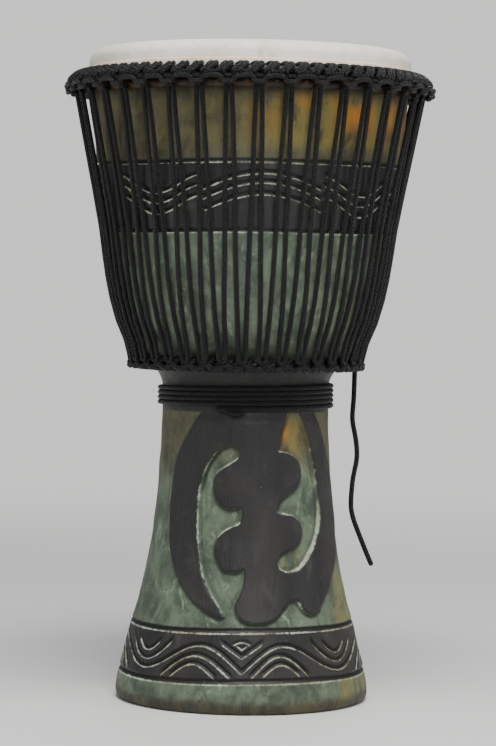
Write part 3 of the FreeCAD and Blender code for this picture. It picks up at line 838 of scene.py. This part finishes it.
def rope_piece(name, paths, radius=ROPE_RADIUS, step=1.6, sides=12):
    """Braided rope along one or more paths. Each path is (points, reference, closed): the reference
    is a function giving, at each point, a direction that the rope never runs along."""
    all_points, all_faces, all_uv = [], [], []
    offset = 0
    theta = np.arange(sides) * 2 * math.pi / sides
    for path, reference, closed in paths:
        centre = resample(np.asarray(path, float), step, closed)
        if closed:
            along = np.roll(centre, -1, axis=0) - np.roll(centre, 1, axis=0)
        else:
            along = np.gradient(centre, axis=0)
        along /= np.linalg.norm(along, axis=1, keepdims=True)
        first = reference(centre)
        first -= along * (first * along).sum(axis=1, keepdims=True)
        first /= np.linalg.norm(first, axis=1, keepdims=True)
        second = np.cross(along, first)
        run = np.arange(len(centre)) * step
        braid = np.maximum(np.sin(4 * theta[None, :] + run[:, None] * 2 * math.pi / BRAID_LENGTH),
                           np.sin(4 * theta[None, :] - run[:, None] * 2 * math.pi / BRAID_LENGTH))
        size = radius * (0.965 + 0.035 * braid)
        if not closed:
            ends = np.minimum(run, run[::-1])
            size = size * np.sqrt(np.clip(1 - (1 - np.clip(ends / radius, 0, 1)) ** 2, 0.02, 1))[:, None]
        around = np.cos(theta)[None, :, None] * first[:, None, :]
        around = around + np.sin(theta)[None, :, None] * second[:, None, :]
        points = centre[:, None, :] + size[:, :, None] * around
        faces = grid_faces(len(centre), sides, closed) + offset
        uv = np.stack([np.broadcast_to(theta / (2 * math.pi), size.shape),
                       np.broadcast_to(run[:, None], size.shape)], axis=-1).reshape(-1, 2)
        all_points.append(points.reshape(-1, 3))
        all_faces.append(faces)
        all_uv.append(uv)
        if not closed:
            last = offset + (len(centre) - 1) * sides
            all_faces += [cap_faces(offset, sides), cap_faces(last, sides, True)]
        offset += len(centre) * sides
    return build_mesh(name, np.concatenate(all_points), np.concatenate(all_faces), ROPE,
                      uv=np.concatenate(all_uv))


def cap_faces(start, sides, reverse=False):
    """Quads that close the small end ring of a rope."""
    quads = []
    for index in range(sides // 2 - 1):
        corners = [start + index, start + index + 1, start + sides - index - 2, start + sides - index - 1]
        quads.append(corners[::-1] if not reverse else corners)
    return np.array(quads)


def outward(points):
    """Direction away from the drum's axis at each point."""
    flat = points * [1.0, 1.0, 0.0]
    return flat / np.linalg.norm(flat, axis=1, keepdims=True)


def roundabout(points):
    """Direction round the drum at each point."""
    away = outward(points)
    return np.stack([-away[:, 1], away[:, 0], 0 * away[:, 0]], axis=1)


def smooth_closed(points, rounds):
    """Soften a closed path."""
    for _ in range(rounds):
        points = 0.5 * points + 0.25 * (np.roll(points, 1, axis=0) + np.roll(points, -1, axis=0))
    return points


def lacing_path():
    """Up and down between the crown loops and the bottom ring, once round the drum."""
    top, bottom = 566.0, LACE_LINE[-2][0]
    samples = []
    for loop in range(LOOPS):
        rise = np.linspace(0, 1, 60)
        middle_top = FIRST_TOP + PITCH * loop
        middle_bottom = FIRST_BOTTOM + PITCH * loop
        top_half = math.degrees(TOP_HALF_GAP / 163.0)
        bottom_half = math.degrees(BOTTOM_HALF_GAP / 110.3)
        bend = np.linspace(math.pi / 2, 0, 6, endpoint=False)
        samples += [(middle_top + top_half * math.cos(t), top + TOP_HALF_GAP * math.sin(t)) for t in bend]
        samples += zip(middle_top + top_half + rise * (middle_bottom - bottom_half - middle_top - top_half),
                       top + rise * (bottom - top))
        turn = np.linspace(math.pi, 2 * math.pi, 12)[1:-1]
        samples += [(middle_bottom + bottom_half * math.cos(t), bottom + BOTTOM_HALF_GAP * math.sin(t))
                    for t in turn]
        next_top = middle_top + PITCH
        lift = next_top - top_half - middle_bottom - bottom_half
        samples += zip(middle_bottom + bottom_half + rise * lift, bottom + rise * (top - bottom))
        bend = np.linspace(math.pi, math.pi / 2, 6, endpoint=False)[1:]
        samples += [(next_top + top_half * math.cos(t), top + TOP_HALF_GAP * math.sin(t)) for t in bend]
    angle, height = np.array(samples).T
    shake = value_noise(angle / 360 * 72, height / 60, 31, 72) - 0.5
    free = smoothstep(318, 350, height) * smoothstep(571, 540, height)
    radius = table(LACE_LINE, height)
    radius = np.maximum(radius, smooth_table(PROFILE, height, PROFILE_BLUR) + ROPE_RADIUS + 0.55)
    return cylinder_points(radius, angle + 0.35 * shake * free, height)


def make_lacing():
    lacing = rope_piece("lacing", [(lacing_path(), outward, True)], step=1.8)
    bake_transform(lacing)
    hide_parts("lacing_rope")


def paired_coil(section, turns, lean, pair_gap, start):
    """Rope wound round a ring in close pairs: each turn goes over at its own place and moves on to
    the next one while it is underneath. section is a closed list of (radius, height) that starts on
    the inside and goes over the top first."""
    section = np.array(section, float)
    ring = np.vstack([section, section[:1]])
    lengths = np.concatenate([[0], np.cumsum(np.linalg.norm(np.diff(ring, axis=0), axis=1))])
    lengths /= lengths[-1]
    samples = []
    pitch = 360 / turns
    for turn in range(turns):
        share = np.linspace(0, 1, 28, endpoint=False)
        radius = np.interp(share, lengths, ring[:, 0])
        height = np.interp(share, lengths, ring[:, 1])
        closer = pair_gap if turn % 2 == 0 else -pair_gap
        here = start + turn * pitch + closer
        after = start + (turn + 1) * pitch - closer
        angle = here + (after - here) * smoothstep(0.55, 0.98, share)
        angle = angle + lean * np.sin(np.clip(share / 0.55, 0, 1) * math.pi * 2 - math.pi / 2) / 2
        samples.append(np.stack([radius, angle, height], axis=1))
    samples = np.concatenate(samples)
    return smooth_closed(cylinder_points(*samples.T), 3)


def make_crown_work():
    """Hitches over the crown ring and, under them, the garland that holds the lacing."""
    rod_x = CROWN_RING[1].x / MM - ROD_RADIUS
    rod_z = (CROWN_RING[0].z + CROWN_RING[1].z) / 2 / MM
    turn = [(rod_x - 5.3, rod_z + 0.3), (rod_x - 4.4, rod_z + 4.0), (rod_x - 1.2, rod_z + 5.9),
            (rod_x + 2.6, rod_z + 4.4), (rod_x + 6.0, rod_z + 1.4), (rod_x + 8.9, rod_z - 1.6),
            (rod_x + 9.2, rod_z - 3.6), (rod_x + 6.8, rod_z - 4.4), (rod_x + 3.0, rod_z - 5.2),
            (rod_x - 1.5, rod_z - 5.3), (rod_x - 4.6, rod_z - 3.2)]
    coil = paired_coil(turn, LOOPS * 4, 2.6, 0.42, 0.6)
    angle = np.linspace(0, 360, LOOPS * 40, endpoint=False)
    beat = np.cos(np.radians(LOOPS * (angle - FIRST_TOP)))
    low = smoothstep(0.05, 0.55, beat)
    edge = np.exp(-((beat - 0.3) / 0.28) ** 2)
    shake = value_noise(angle / 360 * 120, 0 * angle, 41, 120) - 0.5
    radius = rod_x + 11.2 - 0.9 * low - 1.8 * edge + 0.8 * shake
    height = rod_z - 7.4 - 4.4 * low + 0.9 * (1 - low) * np.cos(np.radians(LOOPS * (angle - 8)))
    garland = cylinder_points(radius, angle, height + 0.7 * shake)
    inner = cylinder_points(radius - 3.4 + 0.3 * low, angle, height + 3.2 + 1.4 * low)
    crown = rope_piece("crown_rope_work", [(coil, roundabout, True),
                                           (smooth_closed(garland, 2), outward, True),
                                           (smooth_closed(inner, 2), outward, True)], step=1.5)
    stand_for(crown, "black_rope", "tuning_hoops", "crown_hitches")


def make_bottom_work():
    """Twisted chain of hitches round the bottom ring."""
    rod_x = BOTTOM_RING[1].x / MM - ROD_RADIUS
    rod_z = (BOTTOM_RING[0].z + BOTTOM_RING[1].z) / 2 / MM
    away = 5.35
    section = [(rod_x - away * math.cos(t), rod_z + away * math.sin(t))
               for t in np.linspace(0, 2 * math.pi, 16, endpoint=False)]
    coil = paired_coil(section, LOOPS * 2, 3.4, 0.9, FIRST_BOTTOM)
    angle = np.linspace(0, 360, LOOPS * 24, endpoint=False)
    swing = np.radians(LOOPS * angle)
    chain = cylinder_points(rod_x + 7.0 + 0.8 * np.sin(2 * swing), angle, rod_z - 2.6 + 2.0 * np.cos(swing))
    work = rope_piece("bottom_rope_work", [(coil, roundabout, True), (chain, outward, True)], step=1.6)
    stand_for(work, "black_rope", "drum_shell", "bottom_hitches")


def make_neck_wrap():
    """Spare rope wound round the neck in slightly uneven turns, its end tucked in below."""
    low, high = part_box("neck_wrap")
    turns = 4.6
    share = np.linspace(0, 1, 900)
    angle = -20 + 360 * turns * share
    height = low.z / MM + 2.3 + (high.z - low.z - 4.6 * MM) / MM * share
    slant = 0.8 * np.sin(np.radians(angle) + 0.7)
    radius = smooth_table(PROFILE, height, PROFILE_BLUR) + ROPE_RADIUS + 0.3
    wound = cylinder_points(np.maximum(radius, 80.9), angle, height + slant * smoothstep(0, 0.1, share))
    tuck = cylinder_points(np.array([81.2, 82.6, 83.4, 82.4, 81.0]),
                           np.array([-16.0, -11.0, -7.0, -3.0, 0.0]),
                           np.array([277.0, 274.4, 272.6, 272.9, 275.2]))
    wrap = rope_piece("neck_wrap_rope", [(wound, outward, False), (tuck, outward, False)])
    stand_for(wrap, "black_rope", "drum_shell", "neck_wrap")


def make_tail():
    """Loose rope end: it bends where it leaves the hitches and hangs below them."""
    knots = [(103, 0, 313), (103, 0, 305), (102.6, 1, 282), (101, 2, 265), (105.5, 1, 246),
             (107, -1, 228), (102.5, -2, 209), (101, 0, 182), (104, 1, 170), (110, 1, 155),
             (117, 0, 138), (122.3, 0, 126)]
    knots = np.array(knots, float)
    fine = np.linspace(0, len(knots) - 1, 160)
    path = np.stack([np.interp(fine, np.arange(len(knots)), knots[:, axis]) for axis in range(3)], axis=1)
    for _ in range(40):
        path[1:-1] = 0.5 * path[1:-1] + 0.25 * (path[2:] + path[:-2])
    tail = rope_piece("rope_tail_end", [(path, roundabout, False)], radius=2.4, step=1.2)
    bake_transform(tail)
    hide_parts("rope_tail")


def finish_hoops():
    """The three hoops keep their own shape and get a finish."""
    for node in ("crown_ring", "flesh_ring", "bottom_ring"):
        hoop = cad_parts[node]
        hoop.data.materials.clear()
        hoop.data.materials.append(STEEL)


# ---- floor, light and camera

BACKDROP = rgb(246, 246, 244)


def floor_paper():
    """Matt pale paper that fades into the light behind it, away from the drum."""
    n = Nodes("floor_paper")
    split = n.add("ShaderNodeSeparateXYZ")
    n.link(n.place, split.inputs[0])
    square = n.math("ADD", n.math("POWER", split.outputs["X"], 2.0), n.math("POWER", split.outputs["Y"], 2.0))
    n.finish(rgb(228, 227, 224), 0.8)
    glow = n.add("ShaderNodeEmission")
    glow.inputs["Color"].default_value = BACKDROP
    mixed = n.add("ShaderNodeMixShader")
    n.link(n.window(n.math("SQRT", square), 0.7, 2.6), mixed.inputs["Fac"])
    n.tree.links.new(n.surface.outputs[0], mixed.inputs[1])
    n.tree.links.new(glow.outputs[0], mixed.inputs[2])
    n.tree.links.new(mixed.outputs[0], n.tree.nodes["Material Output"].inputs["Surface"])
    return n.material


def make_stage():
    """Flat pale floor."""
    steps = np.linspace(-15000, 15000, 13)
    points = np.array([[x, y, 0] for y in steps for x in steps], float)
    count = len(steps)
    faces = [[r * count + c, r * count + c + 1, (r + 1) * count + c + 1, (r + 1) * count + c]
             for r in range(count - 1) for c in range(count - 1)]
    build_mesh("studio_floor", points, faces, floor_paper())


def area_light(name, place, aim, size, power, colour=(1, 1, 1)):
    data = bpy.data.lights.new(name, "AREA")
    data.shape = "RECTANGLE"
    data.size, data.size_y = size
    data.energy = power
    data.color = colour
    lamp = add_object(name, data)
    lamp.location = place
    lamp.rotation_euler = (Vector(aim) - Vector(place)).to_track_quat("-Z", "Y").to_euler()


def make_light():
    middle = (0, 0, 0.30)
    area_light("softbox_top", (0.1, -0.75, 1.9), (0, 0, 0.45), (0.9, 0.7), 38)
    area_light("softbox_front", (0.35, -2.3, 1.35), middle, (1.0, 1.0), 19)
    area_light("softbox_left", (-1.9, -0.6, 1.0), middle, (0.7, 1.4), 7)
    area_light("softbox_right", (1.9, -0.5, 1.0), middle, (0.7, 1.4), 8)
    area_light("softbox_back", (0.4, 2.2, 1.5), middle, (1.2, 1.0), 14)
    world = bpy.data.worlds.new("studio")
    world.use_nodes = True
    tree = world.node_tree
    fill = tree.nodes["Background"]
    fill.inputs["Color"].default_value = (0.93, 0.95, 1.0, 1)
    fill.inputs["Strength"].default_value = 0.25
    seen = tree.nodes.new("ShaderNodeBackground")
    seen.inputs["Color"].default_value = BACKDROP
    choice = tree.nodes.new("ShaderNodeMixShader")
    tree.links.new(tree.nodes.new("ShaderNodeLightPath").outputs["Is Camera Ray"], choice.inputs["Fac"])
    tree.links.new(fill.outputs[0], choice.inputs[1])
    tree.links.new(seen.outputs[0], choice.inputs[2])
    tree.links.new(choice.outputs[0], tree.nodes["World Output"].inputs["Surface"])
    bpy.context.scene.world = world


def make_camera():
    """View from the front, a little above the middle of the drum, tilted slightly."""
    data = bpy.data.cameras.new("camera")
    data.lens = CAMERA_LENS
    data.sensor_width = 36.0
    data.clip_end = 30.0
    camera = add_object("camera", data)
    pitch = math.radians(90 - CAMERA_PITCH_DOWN)
    roll = math.radians(CAMERA_ROLL)
    turn = Matrix.Rotation(pitch, 4, "X") @ Matrix.Rotation(roll, 4, "Z")
    camera.matrix_world = Matrix.Translation(CAMERA_PLACE) @ turn
    data.shift_x = CAMERA_SHIFT
    bpy.context.scene.camera = camera


make_shell()
make_skin()
make_lacing()
make_crown_work()
make_bottom_work()
make_neck_wrap()
make_tail()
finish_hoops()
make_stage()
make_light()
make_camera()
